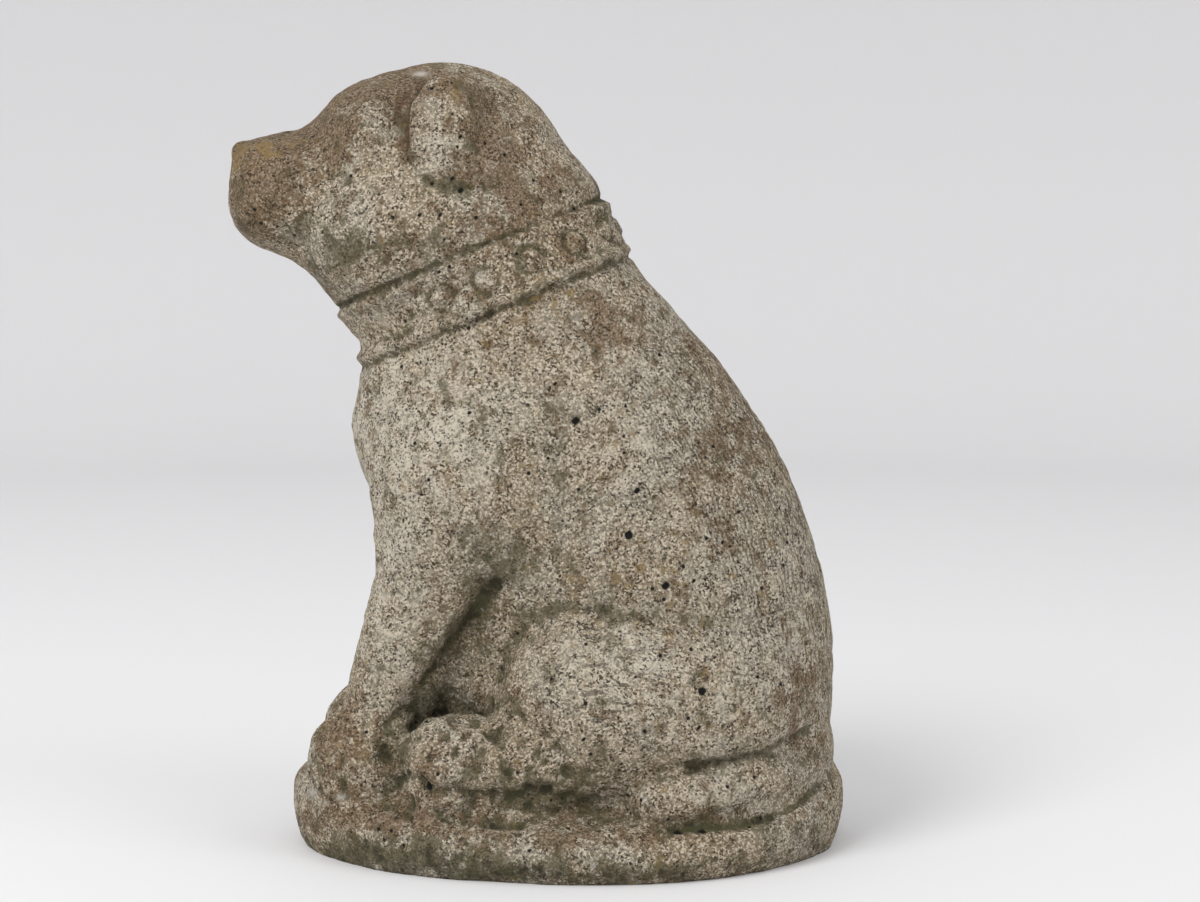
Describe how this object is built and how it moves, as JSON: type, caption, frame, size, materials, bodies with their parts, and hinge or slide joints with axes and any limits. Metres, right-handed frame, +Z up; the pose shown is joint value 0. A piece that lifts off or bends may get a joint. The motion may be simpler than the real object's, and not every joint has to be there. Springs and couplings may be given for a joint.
{
  "type": "bulldog garden statue",
  "caption": "Seated garden dog in cast stone with a studded collar, head raised, tail round the flank, on a low oval base.",
  "frame": {"origin": "centre of the oval base's flat underside", "axes": "+Z up, the dog faces -Y, its left flank is on +X"},
  "size_m": [0.2123, 0.3148, 0.3999],
  "materials": {
    "cast_stone": "weathered cast stone, sandy and pitted, with brown and green patina"
  },
  "bodies": {
    "root": {"bulldog_statue": "cast_stone"}
  },
  "joints": []
}
